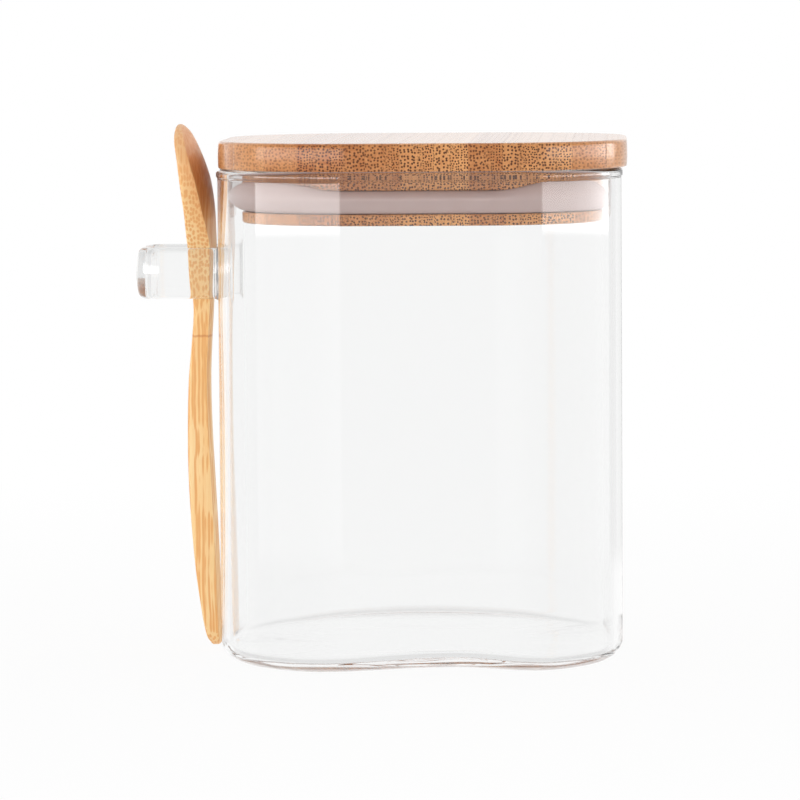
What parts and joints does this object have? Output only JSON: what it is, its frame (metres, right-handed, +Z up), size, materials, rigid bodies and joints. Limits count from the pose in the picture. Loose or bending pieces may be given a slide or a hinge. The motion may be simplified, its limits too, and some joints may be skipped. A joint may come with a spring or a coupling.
{
  "type": "square glass storage canister with bamboo lid and spoon",
  "caption": "Square clear glass jar with rounded corners, a flat bamboo plug lid with a silicone seal, and a bamboo spoon hung in a glass loop on its side.",
  "frame": {"origin": "on the shelf, under the middle of the whole object's outline, loop included", "axes": "+Z up, out of the jar's mouth; -X towards the glass loop and the spoon; -Y towards the front of the picture"},
  "size_m": [0.1228, 0.1012, 0.1325],
  "materials": {
    "glass": "clear, polished by fire",
    "lid_bamboo": "vertically laminated bamboo, fine sanded and oiled",
    "silicone": "translucent, satin",
    "spoon_bamboo": "carved from one piece of bamboo, oiled"
  },
  "bodies": {
    "jar": {"jar_body": "glass", "spoon_loop": "glass"},
    "lid": {"lid_strip_01": "lid_bamboo", "lid_strip_02": "lid_bamboo", "lid_strip_03": "lid_bamboo", "lid_strip_04": "lid_bamboo", "lid_strip_05": "lid_bamboo", "lid_strip_06": "lid_bamboo", "lid_strip_07": "lid_bamboo", "lid_strip_08": "lid_bamboo", "lid_strip_09": "lid_bamboo", "lid_strip_10": "lid_bamboo", "lid_strip_11": "lid_bamboo", "lid_strip_12": "lid_bamboo", "lid_strip_13": "lid_bamboo", "seal_ring": "silicone"},
    "spoon": {"spoon": "spoon_bamboo"}
  },
  "joints": [
    {"name": "lid_lift", "type": "slide", "parent": "jar", "child": "lid", "axis": [0, 0, 1], "range_m": [0, 0.06]},
    {"name": "spoon_lift", "type": "slide", "parent": "jar", "child": "spoon", "axis": [0, 0, 1], "range_m": [0, 0.135]}
  ]
}
